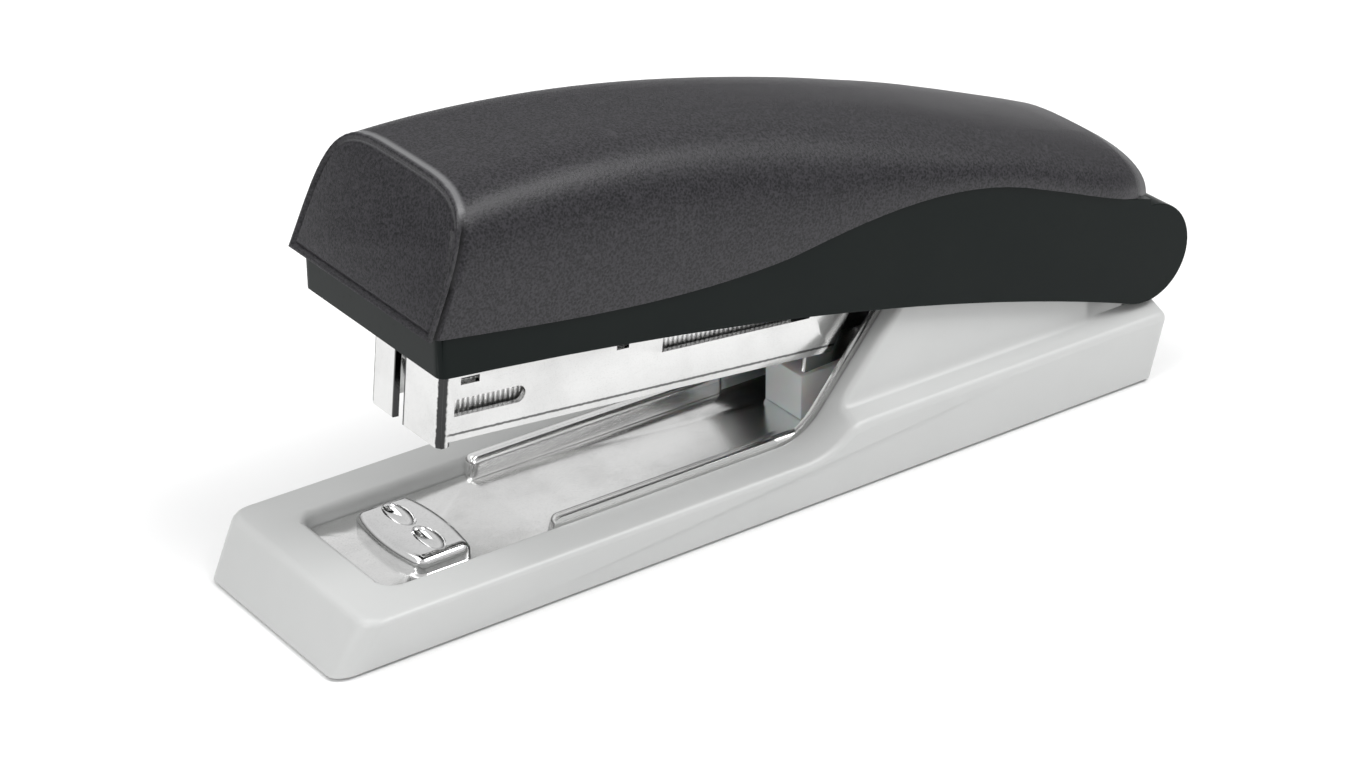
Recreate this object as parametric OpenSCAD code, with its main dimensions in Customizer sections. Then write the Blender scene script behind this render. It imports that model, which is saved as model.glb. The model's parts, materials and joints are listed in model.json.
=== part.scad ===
/* [Base] */
// Length of the base from its front foot to its rear end
base_l = 127; // [121:1:154]
// Height of the flat front part of the base
base_h = 7.4; // [6.8:0.1:9]
// Height of the shoulder on which the skirt closes
shoulder_h = 11.7; // [11:0.1:12]
// How far the base stands out past the skirt on each side
base_flare = 1.6; // [1.2:0.1:3]
// Inward draft of the side walls, from top to bottom
base_draft = 1.6; // [0.5:0.1:2.5]
// How far the front face leans back
front_lean = 4; // [2:0.5:6]
// Height of the rubber feet below the shell
foot_drop = 0.5; // [0.4:0.1:1.5]
// Radius of the soft edges of the shell
edge_r = 1; // [0.6:0.1:1.4]

/* [Base plate] */
// Thickness of the plate and its ears
plate_t = 1; // [0.8:0.1:1.2]
// Height of the plate's upper face
plate_z = 5.3; // [5:0.1:5.8]
// Distance from the front of the base to the recess
recess_x = 10.3; // [8:0.1:12]
// Place where the side ridges begin
ridge_x = 33.8; // [30:0.1:50]
// Height of the side ridges above the plate
ridge_h = 2.8; // [2:0.1:3]

/* [Anvil] */
// Width of the anvil
anvil_w = 15; // [14:0.5:17]
// Length of the anvil along the base
anvil_l = 9.4; // [8:0.1:11]
// Height of the anvil above the plate
anvil_h = 2; // [1.6:0.1:2.2]
// Radius of its bowed front and rear edges
anvil_bow_r = 29; // [25:1:40]

/* [Hinge] */
// Height of the hinge pin above the table
hinge_z = 19.2; // [19:0.1:20]
// Distance from the hinge pin to the rear of the base
hinge_back = 3; // [2:0.1:5]
// Diameter of the hinge pin
pin_d = 4; // [3:0.1:4.4]
// Radius of the metal bosses round the pin
boss_r = 5; // [4.4:0.1:5]
// Radius of the round tail of the head
tail_r = 7; // [7:0.1:7.1]
// Angle at which the magazine is held open
rest_tilt = 5.6; // [4.5:0.1:6]

/* [Magazine] */
// Outside width of the magazine
mag_w = 15; // [15:0.1:18]
// Distance from the front of the base to the magazine's nose
nose_x = 20.3; // [16:0.1:26]
// Depth of the magazine's lower edge below the pin
mag_drop = 7.5; // [7.3:0.1:7.8]
// Height of the magazine's upper edge above the pin
mag_top = 1.6; // [1.2:0.1:2]
// Length below the channel of the folded nose
nose_drop = 0.65; // [0.3:0.05:0.7]
// Distance from the pin to the rear end of the channel
mag_rear = 46; // [44:0.5:52]
// Thickness of the sheet metal
sheet_t = 0.8; // [0.6:0.05:0.9]
// Width of the slot between the nose flaps
nose_slot = 2.1; // [1.5:0.1:4]

/* [Staples and feed] */
// Outside width of a staple
staple_w = 12.8; // [12.4:0.1:12.9]
// Length of a staple's legs, crown included
staple_h = 6; // [5:0.5:6]
// Thickness of the staple wire across the strip
wire_t = 0.55; // [0.4:0.05:0.6]
// Width of the wire along the strip
wire_w = 0.7; // [0.6:0.05:0.8]
// Number of staples loaded
staple_n = 72; // [20:1:72]
// Length of the pusher
pusher_l = 13; // [10:0.5:14]
// Travel of the pusher to the rear of the loaded strip
pusher_travel = 11; // [4:0.5:11]

/* [Driver] */
// Thickness of the driver blade
blade_t = 0.6; // [0.5:0.05:0.7]

/* [Return spring] */
// Width of the white spring block
block_w = 7.5; // [6.5:0.1:8]
// Length of the block along the base
block_l = 12; // [10:0.5:13]
// Height of the block above the plate
block_h = 6.3; // [5:0.1:6.4]
// Place of the block's front face
block_x = 75.8; // [74:0.1:80]
// Diameter of the well for the return spring
well_d = 5.6; // [5:0.1:6]

/* [Head] */
// Place of the lower front edge of the cover
cap_x = 14.1; // [12:0.1:18]
// Height of the cover's lower front edge
cap_z = 40.2; // [38:0.1:44]
// Height of the cover's front face, measured straight up
cap_face_h = 15.3; // [12:0.1:19]
// How far the front face leans back over that height
cap_lean = 6.8; // [4:0.1:8]
// Wall of the cover
cap_t = 1.6; // [1.2:0.1:1.8]
// Wall of the skirt
trim_t = 1.45; // [1.2:0.05:1.6]
// Set-back of the skirt from the cover's lower front edge
trim_back = 1.6; // [1:0.1:2.5]
// Height of the skirt's lower front edge
trim_z = 34.7; // [33:0.1:36]
// Thickness of the cheeks of the base
cheek_t = 3; // [2.4:0.1:4]
// Side gap between the cheeks and the skirt
trim_gap = 0.45; // [0.35:0.05:0.8]

/* [Fits] */
// Radial clearance of the parts that turn on the pin
run_fit = 0.05; // [0.03:0.01:0.08]
// Side gap between neighbouring sheet metal arms
arm_gap = 0.3; // [0.25:0.05:0.4]

/* [Hidden] */
$fn = 48;

// the side-by-side stack at the hinge, as half widths from the middle
frame_in = mag_w/2 + arm_gap;
frame_out = frame_in + sheet_t;
ear_in = frame_out + arm_gap;
ear_out = ear_in + plate_t;
cheek_in = ear_out + 0.1;
cheek_out = cheek_in + cheek_t;
trim_in = cheek_out + trim_gap;
trim_out = trim_in + trim_t;
cap_out = trim_out + 0.45;
base_half = trim_out + base_flare;

hinge_x = base_l - hinge_back;
overall_l = hinge_x + tail_r;
nose_reach = (hinge_x - nose_x)/cos(rest_tilt);
blade_r = nose_reach - sheet_t - 0.1 - blade_t/2;
pin_bore = pin_d + 2*run_fit;
pin_len = 2*cheek_out - 0.6;
pin_head_d = pin_d + 2.6;
pin_head_t = 1;

// the sloping front edge of the cheeks and ears
slope_deg = 49.6;
slope_x = 71;
slope_r = 8.7;
cheek_top = hinge_z + boss_r + 0.4;

// channel levels in the level frame of the magazine, with its origin on the pin
floor_top = -mag_drop + sheet_t;
rail_t = 0.7;
rivet_d = 1.6;
rail_half = staple_w/2 - wire_t - 0.05;
rail_top = floor_top + staple_h - wire_t + 0.4;
strip_top = rail_top + 0.05 + wire_t;
strip_front = -blade_r + blade_t/2 + 0.4;
strip_rear = strip_front + staple_n*wire_w;
rail_rear = strip_rear + 0.1 + pusher_l + pusher_travel + 1;
nose_in = -nose_reach + sheet_t;

// the bridge under the head spring clears the rail's rear end, and the head's web ends over it
bridge_x = max(-24, rail_rear + 2.8);
bridge_z = sheet_t - 2.6;
web_rear = bridge_x + 2;

// levels of the head's metal frame, in the same level frame
web_z = 11.2;
frame_front = 0.15 - sqrt(pow(blade_r - blade_t/2, 2) - pow(web_z + sheet_t + blade_t, 2));
blade_tip = strip_top + 0.4;
screw_d = 2.2;
screw_x = [-84, -42];

// the return spring stands on the well's floor and lifts the bracket's web
bracket_wall = block_w/2 + 0.6;
bracket_top = -4.6;
bracket_t = 0.8;
bracket_x = block_x - hinge_x + 0.3;
spring_x = block_x + block_l/2;
well_z = plate_z + 1;

module place() { translate([-overall_l/2, 0, 0]) children(); }
module at_pin() { translate([hinge_x, 0, hinge_z]) children(); }
module level() { at_pin() rotate([0, rest_tilt, 0]) children(); }
module side(w) { rotate([90, 0, 0]) linear_extrude(w, center = true) children(); }
module pair(y0, y1) { for (s = [-1, 1]) translate([0, s*(y0 + y1)/2, 0]) side(y1 - y0) children(); }
module cross_bore(d, w) { rotate([90, 0, 0]) cylinder(d = d, h = w, center = true); }
module box(x0, x1, y0, y1, z0, z1) { translate([x0, y0, z0]) cube([x1 - x0, y1 - y0, z1 - z0]); }

function bez(p, t) = let (u = 1 - t)
    u*u*u*p[0] + 3*u*u*t*p[1] + 3*u*t*t*p[2] + t*t*t*p[3];
function bez_run(p, n) = [for (i = [0:n]) bez(p, i/n)];
function arc(cx, cz, r, a0, a1, n) =
    [for (i = [0:n]) let (a = a0 + (a1 - a0)*i/n) [cx + r*cos(a), cz + r*sin(a)]];
function lerp(a, b, t) = a + (b - a)*t;

// a coil about the Z axis, swept as one closed tube; each leg is how far its free end
// stands from that end of the coil
module coil(r, wire_r, turns, h, sides = 6, steps = 14, from = 0, legs = []) {
    n = ceil(turns*steps);
    rings = [for (i = [0:n]) let (a = from + 360*turns*i/n, z = wire_r + (h - 2*wire_r)*i/n)
             [for (j = [0:sides - 1]) let (b = 360*j/sides, q = r + wire_r*cos(b))
              [q*cos(a), q*sin(a), z + wire_r*sin(b)]]];
    all = len(legs) == 0 ? rings
        : concat([[for (p = rings[0]) p + legs[0]]], rings, [[for (p = rings[n]) p + legs[1]]]);
    last = len(all) - 1;
    faces = concat(
        [[for (j = [0:sides - 1]) j]],
        [[for (j = [sides - 1:-1:0]) last*sides + j]],
        [for (i = [0:last - 1]) for (j = [0:sides - 1]) let (k = (j + 1) % sides)
         [i*sides + j, (i + 1)*sides + j, (i + 1)*sides + k, i*sides + k]]);
    polyhedron(points = [for (ring = all) for (p = ring) p], faces = faces, convexity = 8);
}

// concave ramp and straight slope from the flat base up to z_top
function slope_line(shift, z_flat, z_top) = let (
        run = slope_r*tan(slope_deg/2),
        x0 = slope_x + shift)
    concat(
        [for (i = [0:6]) let (a = slope_deg*i/6)
            [x0 - run + slope_r*sin(a), z_flat + slope_r*(1 - cos(a))]],
        [[x0 + (z_top - z_flat)/tan(slope_deg), z_top]]);

module slab_corner(x, y, z) { translate([x, y, z]) sphere(edge_r, $fn = 24); }

module base_shell() {
    bottom = foot_drop;
    low_half = base_half - base_draft;
    rear_x = base_l - edge_r;
    recess_half = ear_out + 0.08;
    place() color("gainsboro") difference() {
        union() {
            hull() for (s = [-1, 1]) {
                slab_corner(edge_r, s*(low_half - edge_r), bottom + edge_r);
                slab_corner(front_lean + edge_r, s*(base_half - edge_r), base_h - edge_r);
                slab_corner(rear_x - 0.5, s*(base_half - edge_r - 0.36*base_draft), base_h - edge_r);
                slab_corner(rear_x - 2, s*(low_half - edge_r), bottom + edge_r);
            }
            difference() {
                hull() for (s = [-1, 1]) {
                    slab_corner(slope_x - 12, s*(low_half - edge_r), bottom + edge_r);
                    slab_corner(rear_x - 2, s*(low_half - edge_r), bottom + edge_r);
                    for (x = [slope_x - 12, rear_x]) {
                        slab_corner(x, s*(base_half - edge_r), shoulder_h - 1.5 - edge_r);
                        slab_corner(x, s*(cheek_out - edge_r), shoulder_h - edge_r);
                    }
                }
                side(4*base_half) polygon(concat(slope_line(-1, base_h - 0.01, shoulder_h + 8),
                    [[0, shoulder_h + 8], [0, base_h - 0.01]]));
            }
            pair(cheek_in, cheek_out) cheek_outline();
        }
        // recess for the plate and its ears
        hull() for (s = [-1, 1]) {
            translate([recess_x + 2, s*(recess_half - 2), plate_z - plate_t]) cylinder(r = 2, h = 30);
            translate([base_l - 4, s*(recess_half - 2), plate_z - plate_t]) cylinder(r = 2, h = 30);
        }
        // hollow underside, with a deck left under the plate
        box(front_lean + 4, base_l - 6, -low_half + 3, low_half - 3, -1, plate_z - plate_t - 1.6);
        // seats of the feet and room for the head of the anvil's rivet
        feet(0.05);
        translate([anvil_mid_x(), 0, plate_z - plate_t - 2]) cylinder(d = rivet_head_d + 0.4, h = 3);
        at_pin() {
            cross_bore(pin_d + 0.2, 4*base_half);
            for (s = [-1, 1]) translate([0, s*(cheek_out - pin_head_t/2 - 0.25 + 5), 0])
                cross_bore(pin_head_d + 0.5, pin_head_t + 10.5);
        }
        plate_screw_holes(screw_d + 0.2);
    }
}

// outline of the cheeks and, with a small shift, of the plate's ears
module cheek_outline(shift = 0, r = 5.3, low = 1.5) {
    polygon(concat(
        [[slope_x - 4 + shift, plate_z - low]],
        slope_line(shift, base_h - 0.4, cheek_top - 4),
        bez_run([[slope_x + shift + (cheek_top - 4 - base_h + 0.4)/tan(slope_deg), cheek_top - 4],
                 [slope_x + shift + (cheek_top - base_h + 0.4)/tan(slope_deg), cheek_top],
                 [slope_x + shift + 18, cheek_top + 0.2],
                 [slope_x + shift + 26, hinge_z + r]], 6),
        arc(hinge_x, hinge_z, r, 90, -60, 12),
        [[hinge_x - 2.4, hinge_z - r - 0.4], [hinge_x - 2.4, plate_z - low]]));
}

function foot_places() = [for (x = [11, base_l - 14]) for (s = [-1, 1]) [x, s*(base_half - base_draft - 5)]];
module feet(gap) {
    for (p = foot_places()) translate([p[0], p[1], -gap]) {
        cylinder(d = 6.5 + 2*gap, h = 3 - foot_drop + gap);
    }
}
module rubber_feet() { place() color("dimgray") feet(0.0); }

plate_screw_x = [92, 112];
module plate_screw_holes(d) {
    for (x = plate_screw_x) translate([x, 0, -0.01]) cylinder(d = d, h = 30);
}
module plate_screws() {
    place() color("silver") for (x = plate_screw_x) translate([x, 0, plate_z - plate_t]) {
        translate([0, 0, -1.6 - 1.1]) cylinder(d = 4.2, h = 1.1);
        translate([0, 0, -1.7]) cylinder(d = screw_d, h = 1.7 + plate_t - 0.1);
    }
}

module base_plate() {
    floor_half = ear_out;
    ridge_top = plate_z + ridge_h;
    place() color("silver") difference() {
        union() {
            hull() for (s = [-1, 1]) {
                for (x = [recess_x + 2.1, base_l - 4.1])
                    translate([x, s*(floor_half - 2), plate_z - plate_t]) cylinder(r = 2, h = plate_t);
            }
            pair(ear_in, ear_out) {
                polygon(concat([[ridge_x, plate_z - 0.5]],
                    arc(ridge_x + 1.2, ridge_top - 1.2, 1.2, 180, 90, 4),
                    [[slope_x - 4, ridge_top], [slope_x - 2, plate_z - 0.5]]));
                cheek_outline(-0.5, boss_r, 0.5);
            }
        }
        at_pin() cross_bore(pin_d, 4*base_half);
        plate_screw_holes(screw_d + 0.1);
        translate([anvil_mid_x(), 0, 0]) cylinder(d = 2.5, h = 10);
    }
}

function anvil_front_x() = nose_x - 4.9;
function anvil_mid_x() = anvil_front_x() + anvil_l/2;
module anvil_outline(in = 0) {
    bow = anvil_bow_r;
    intersection() {
        translate([anvil_front_x() + bow + in, 0]) circle(bow, $fn = 160);
        translate([anvil_front_x() + anvil_l - bow - in, 0]) circle(bow, $fn = 160);
        square([400, anvil_w - 2*in], center = true);
    }
}
rivet_head_d = 4;
module anvil() {
    pocket_len = 6.4;
    place() color("silver") difference() {
        translate([0, 0, plate_z]) union() {
            linear_extrude(anvil_h - 0.9) anvil_outline();
            hull() {
                translate([0, 0, anvil_h - 0.91]) linear_extrude(0.01) anvil_outline();
                linear_extrude(anvil_h) anvil_outline(0.8);
            }
        }
        for (s = [-1, 1]) translate([anvil_mid_x() + 1, s*(pocket_len/2 + 0.25), plate_z + anvil_h]) {
            intersection() {
                rotate([0, 90, 0]) translate([6.6, 0, -1.3]) cylinder(r = 7.3, h = 2.6);
                rotate([90, 0, 0]) translate([0, 1.2, -pocket_len/2]) cylinder(r = 1.75, h = pocket_len);
            }
        }
        translate([anvil_mid_x(), 0, plate_z - 0.1]) cylinder(d = 2.5, h = 1.0);
    }
}
module anvil_rivet() {
    place() color("silver") translate([anvil_mid_x(), 0, plate_z - plate_t]) {
        translate([0, 0, -0.8]) cylinder(d = rivet_head_d, h = 0.8);
        translate([0, 0, -0.1]) cylinder(d = 2.5, h = plate_t + 0.9);
    }
}

module spring_block() {
    place() color("white") difference() {
        translate([block_x, -block_w/2, plate_z]) cube([block_l, block_w, block_h]);
        translate([spring_x, 0, well_z]) cylinder(d = well_d, h = 20);
    }
}
module return_spring() {
    top = hinge_z + (hinge_x - spring_x)*sin(rest_tilt) + (bracket_top - bracket_t)*cos(rest_tilt);
    wire = 0.3;
    place() color("silver") translate([spring_x, 0, well_z])
        coil(well_d/2 - wire - 0.25, wire, 6.5, top - well_z - 0.35);
}

module hinge_pin() {
    place() color("silver") at_pin() {
        cross_bore(pin_d, pin_len - 2*pin_head_t + 0.2);
        translate([0, -(pin_len - pin_head_t)/2, 0]) cross_bore(pin_head_d, pin_head_t);
        translate([0, (pin_len - pin_head_t)/2, 0]) cross_bore(pin_d, pin_head_t);
    }
}
module pin_clip() {
    place() color("dimgray") at_pin() translate([0, (pin_len - pin_head_t)/2, 0]) difference() {
        cross_bore(pin_head_d, pin_head_t - 0.2);
        cross_bore(pin_d, 3);
        translate([0, 0, pin_d]) cube([1.4, 3, 2*pin_d], center = true);
    }
}
module hinge_spacer() {
    place() color("silver") at_pin() difference() {
        cross_bore(pin_d + 1.6, mag_w - 2*sheet_t - 0.2);
        cross_bore(pin_bore, 40);
    }
}

// side wall of the magazine with its arm to the pin
module mag_wall() {
    difference() {
        union() {
            polygon(concat(
                [[-nose_reach + 0.4, mag_top], [-nose_reach + 0.4, -mag_drop]],
                [[-mag_rear, -mag_drop], [-mag_rear + 2.8, -mag_drop + 5.7]],
                [[-10, -3.4]],
                arc(0, 0, boss_r, -137, 137, 22),
                [[-10, mag_top]]));
            translate([-nose_reach + 0.4, -mag_drop - nose_drop])
                square([0.9, mag_drop + nose_drop + mag_top + 0.8]);
        }
        circle(d = pin_bore, $fn = 64);
        // front window with a round rear end
        window_z = -mag_drop + 3.15;
        translate([-nose_reach + 2, window_z]) square([8.8, 2.2]);
        translate([-nose_reach + 10.8, window_z + 1.1]) circle(1.1);
        // long window and two lock notches
        translate([-nose_reach + 31.6, -mag_drop + 5.35]) square([22.6, 1.9]);
        translate([-nose_reach + 2.7, -mag_drop + 7.1]) square([2.6, 0.9]);
        translate([-nose_reach + 24.8, -mag_drop + 7]) square([1.8, 0.9]);
    }
}
module magazine() {
    half = mag_w/2;
    place() color("silver") level() difference() {
        union() {
            pair(half - sheet_t, half) mag_wall();
            // floor, open at the nose and over the return spring
            difference() {
                box(-nose_reach + 4, -mag_rear, -half + sheet_t - 0.1, half - sheet_t + 0.1,
                    -mag_drop, floor_top);
                box(bracket_x - 1.5, 0, -bracket_wall - bracket_t - 0.4, bracket_wall + bracket_t + 0.4,
                    -mag_drop - 1, 0);
            }
            // the folded nose, with the slot off the middle
            translate([0, 0, -mag_drop - nose_drop]) linear_extrude(mag_drop + nose_drop + mag_top + 0.8)
                difference() {
                    union() {
                        translate([-nose_reach + 1, -half + 0.05]) square([0.3, 2*half - 0.1]);
                        hull() for (s = [-1, 1]) translate([-nose_reach + 1, s*(half - 1)]) circle(1);
                    }
                    translate([nose_in, -half + sheet_t]) square([4, 2*half - 2*sheet_t]);
                    translate([-nose_reach - 1, 0.25]) square([3, nose_slot]);
                }
            // bridge under the head spring
            box(bridge_x, bridge_x + 4, -half + sheet_t - 0.1, half - sheet_t + 0.1,
                bridge_z - sheet_t, bridge_z);
        }
    }
}

module rail_section(y_half, z_top, z_bottom, t) {
    difference() {
        translate([-y_half, z_bottom]) square([2*y_half, z_top - z_bottom]);
        translate([-y_half + t, z_bottom - 1]) square([2*(y_half - t), z_top - t - z_bottom + 1]);
    }
}
// extrudes a section drawn in Y and Z along X from x0 to x1
module along(x0, x1) {
    translate([x0, 0, 0]) rotate([90, 0, 90]) linear_extrude(x1 - x0) children();
}
module staple_rail() {
    place() color("silver") level() difference() {
        along(strip_front + 0.2, rail_rear) rail_section(rail_half, rail_top, floor_top, rail_t);
        box(strip_front + 6, rail_rear - 2, -1.2, 1.2, rail_top - 2, rail_top + 1);
        box(-mag_rear - 1.8, rail_rear + 1, -20, 20, floor_top - 1, -mag_drop + 2.6);
        for (p = rail_rivet_places()) translate([p[0], 0, p[1]]) cross_bore(rivet_d, 2*mag_w);
    }
}
// rivets of the rail: [x, z, thickness held], the rear pair also holding the bracket
function rail_rivet_places() = [[-nose_reach + 18, -mag_drop/2 - 1, rail_t],
                                [bracket_x + block_l/2, rail_top - 2.5, rail_t + bracket_t]];
module rail_rivets() {
    head_d = 2.6;
    place() color("silver") level() for (p = rail_rivet_places()) for (s = [-1, 1])
        translate([p[0], s*rail_half, p[1]]) {
            translate([0, -s*p[2]/2, 0]) cross_bore(rivet_d, p[2]);
            translate([0, -s*(p[2] + 0.25), 0]) cross_bore(head_d, 0.5);
        }
}
module staple_strip() {
    place() color("lightgray") level()
        along(strip_front, strip_rear) rail_section(staple_w/2, strip_top, strip_top - staple_h, wire_t);
}
module pusher() {
    wall = 0.5;
    half = rail_half + 0.05 + wall;
    low = rail_top - 4.6;
    x0 = strip_rear + 0.1;
    place() color("dimgray") level() {
        along(x0, x0 + pusher_l) rail_section(half, rail_top + 0.05 + wall, low, wall);
        box(x0, x0 + 0.8, -1, 1, bracket_top + 0.3, rail_top + 0.3);
    }
}
module pusher_spring() {
    start = strip_front + 4.4;
    stop = strip_rear + 0.1;
    place() color("silver") level() translate([start, 0, spring_axis_z()]) rotate([0, 90, 0])
        coil(0.95, 0.2, 18, stop - start, 5, 8);
}
function spring_axis_z() = (bracket_top + 0.3 + rail_top - rail_t)/2;
module spring_hook() {
    place() color("silver") level() translate([strip_front + 3.4, 0, spring_axis_z()]) {
        cross_bore(1.4, 2*(rail_half - rail_t));
        translate([0.35, 0, 0]) rotate([0, 90, 0]) cylinder(d = 1.2, h = 0.65);
    }
}

module lift_bracket() {
    outer = rail_half - rail_t;
    z_low = -mag_drop - 3.6;
    place() color("silver") level() {
        box(bracket_x, bracket_x + block_l - 1, -outer, outer, bracket_top - bracket_t, bracket_top);
        for (s = [-1, 1]) translate([0, s*(outer - bracket_t/2), 0]) side(bracket_t) difference() {
            polygon([[bracket_x, rail_top - 1], [bracket_x, z_low],
                     [bracket_x + block_l - 1, z_low + 1.6], [bracket_x + block_l - 1, rail_top - 1]]);
            translate([bracket_x + block_l/2, rail_top - 2.5]) circle(d = rivet_d);
        }
    }
}

// the blade and the metal channel share these two rivets
rivet_hole_d = 1.8;
module driver_rivet_places() {
    for (s = [-1, 1]) translate([frame_front + 4.5, s*3.5, 0]) children();
}

// metal channel of the head, with arms that turn on the pin
module frame_wall() {
    difference() {
        polygon(concat(
            [[frame_front, web_z + sheet_t], [frame_front, web_z - 4]],
            [[frame_front + 6, web_z - 5.2], [-52, 4.6], [-12, 0.4], [-8, -3]],
            arc(0, 0, boss_r, -145, 120, 20),
            [[web_rear + 8, web_z + sheet_t - 2], [web_rear, web_z + sheet_t]]));
        circle(d = pin_bore, $fn = 64);
    }
}
module handle_frame() {
    place() color("silver") level() difference() {
        union() {
            pair(frame_in, frame_out) frame_wall();
            box(frame_front, web_rear, -frame_out, frame_out, web_z, web_z + sheet_t);
        }
        for (x = screw_x) translate([x, 0, 0]) cylinder(d = screw_d + 0.3, h = 40);
        driver_rivet_places() cylinder(d = rivet_hole_d, h = 40);
    }
}

// the blade is bent to a radius about the pin, so that it follows its slot
module driver_blade() {
    half = rail_half + wire_t - 0.15;
    tab_z = web_z + sheet_t;
    place() color("silver") level() {
        difference() {
            cross_bore(2*blade_r + blade_t, 2*half);
            cross_bore(2*blade_r - blade_t, 60);
            box(-80, 300, -60, 60, -300, 300);
            box(-300, 300, -60, 60, -300, blade_tip);
            box(-300, 300, -60, 60, tab_z + blade_t, 300);
        }
        difference() {
            box(-sqrt(pow(blade_r, 2) - pow(tab_z, 2)), frame_front + 9, -half, half, tab_z, tab_z + blade_t);
            driver_rivet_places() cylinder(d = rivet_hole_d, h = 40);
        }
    }
}
module driver_rivets() {
    place() color("dimgray") level() driver_rivet_places() translate([0, 0, web_z]) {
        translate([0, 0, -0.7]) cylinder(d = 3, h = 0.7);
        cylinder(d = rivet_hole_d, h = sheet_t + blade_t);
        translate([0, 0, sheet_t + blade_t]) cylinder(d = 3, h = 0.7);
    }
}

// torsion spring on the spacer: one leg lifts the frame, the other rests on the bridge
module head_spring() {
    wire = 0.4;
    r = pin_d/2 + 0.8 + wire + 0.2;
    width = 2*wire*6 + 0.6;
    leg_x = bridge_x + 1;
    up = web_z - wire - 0.05;
    down = bridge_z + wire + 0.4;
    place() color("silver") level() translate([0, width/2, 0]) rotate([90, 0, 0])
        coil(r, wire, 5.5, width, 6, 12, 270, [[leg_x, down + r, 0], [leg_x, up - r, 0]]);
}

// places along the head, from 0 at the front of the cover to 1 at the pin
function hx(f) = lerp(cap_x, hinge_x, f);

// lower edge of the cover: a long shallow dip, a crest and a fall to the tail
function wave(x) = let (
        f = (x - cap_x)/(hinge_x - cap_x),
        a = [cap_z, cap_z - 2.6, cap_z - 5.6, cap_z - 4.2],
        b = [cap_z - 4.2, cap_z - 2.2, cap_z - 0.9, cap_z - 6.1],
        c = [cap_z - 6.1, cap_z - 8.4, hinge_z + tail_r + 2.5, hinge_z + tail_r + 0.9])
    f < 0.47 ? bez(a, f/0.47) : f < 0.82 ? bez(b, (f - 0.47)/0.35) : bez(c, min(1, (f - 0.82)/0.18));

// lower edge of the skirt from the front to the tail
function skirt_low() = bez_run([[cap_x + trim_back, trim_z], [hx(0.3), trim_z - 3.4],
    [hx(0.654), trim_z - 9.5], [hinge_x + tail_r*cos(105), hinge_z - tail_r*sin(105)]], 24);

trim_x = cap_x + trim_back;
module trim_outline(up) {
    polygon(concat(
        [for (i = [0:40]) let (x = lerp(trim_x, hinge_x, i/40)) [x, wave(x) + up]],
        [[hinge_x + 0.5, hinge_z]],
        [for (i = [len(skirt_low()) - 1:-1:0]) skirt_low()[i]]));
    translate([hinge_x, hinge_z]) circle(tail_r, $fn = 96);
}
module lip_band(up) {
    difference() {
        intersection() {
            trim_outline(up);
            translate([trim_x + 4, 0]) square([hinge_x - trim_x - 45, 100]);
        }
        trim_outline(-3);
    }
}
lip_half = cap_out - cap_t - 0.5;
module head_trim() {
    place() color("darkslategray") difference() {
        union() {
            // side walls
            pair(trim_in, trim_out) trim_outline(0);
            // lip that fits up inside the cover, and the ledge that joins it to the walls
            pair(lip_half - 0.9, lip_half) lip_band(4);
            pair(lip_half - 0.9, trim_in + 0.05) lip_band(-0.2);
            // front wall
            box(trim_x, trim_x + trim_t, -trim_in - 0.1, trim_in + 0.1, trim_z, wave(trim_x));
            // rear wall of the tail, open below for the swing of the head
            side(2*trim_in + 0.2) difference() {
                translate([hinge_x, hinge_z]) circle(tail_r, $fn = 96);
                translate([hinge_x, hinge_z]) circle(tail_r - 1.3, $fn = 96);
                polygon([[hinge_x, hinge_z], [hinge_x + 30*cos(30), hinge_z - 30*sin(30)],
                         [hinge_x, hinge_z - 40], [hinge_x - 40, hinge_z - 40],
                         [hinge_x - 40, hinge_z + 40], [hinge_x + 1.2, hinge_z + 40],
                         [hinge_x + 1.2, hinge_z]]);
            }
            // cross bridges that sit on the metal frame
            level() for (x = screw_x)
                box(x - 3.5, x + 3.5, -lip_half, lip_half, web_z + sheet_t, web_z + sheet_t + 1.6);
        }
        level() for (x = screw_x) translate([x, 0, 0]) cylinder(d = screw_d + 0.3, h = 40);
    }
}

// crest of the cover, from the top of its front face to the tail
crest_z = cap_z + cap_face_h;
cap_end = hinge_x + 3.4;
function crest(x) = let (
        x0 = cap_x + cap_lean, x1 = hinge_x - 2,
        f = (x - x0)/(x1 - x0))
    f < 1 ? bez([crest_z, crest_z + 2.4, crest_z - 8.6, hinge_z + tail_r + 7.6], max(0, f))
          : lerp(hinge_z + tail_r + 7.6, hinge_z + tail_r + 1.2, pow((x - x1)/(cap_end - x1), 1.7));

// half width of the cover in plan, rounded off at the tail
function cap_half(x) = let (x0 = hinge_x - 12, u = max(0, min(0.985, (x - x0)/(cap_end - x0))))
    cap_out*pow(1 - pow(u, 4), 0.25);

// one arch of the cover, set in by t; squarer at the front, rounder at the tail
function arch(i, n, t, m) = let (
        f = i/n,
        xb = lerp(cap_x + t*1.1, cap_end - t, f),
        lean = cap_lean*pow(1 - f, 3),
        low = wave(xb),
        top = crest(xb + lean) - t,
        half = cap_half(xb + t) - t,
        k = lerp(4.4, 2.5, min(1, 1.5*f)))
    [for (j = [0:m]) let (
            a = 180*j/m,
            c = cos(a), s = sin(a),
            y = half*sign(c)*pow(abs(c), 2/k),
            z = low + (top - low)*pow(s, 2/k))
        [xb + lean*(z - low)/max(0.01, top - low), y*(1 - 0.03*(z - low)/max(1, top - low)), z]];

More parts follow.
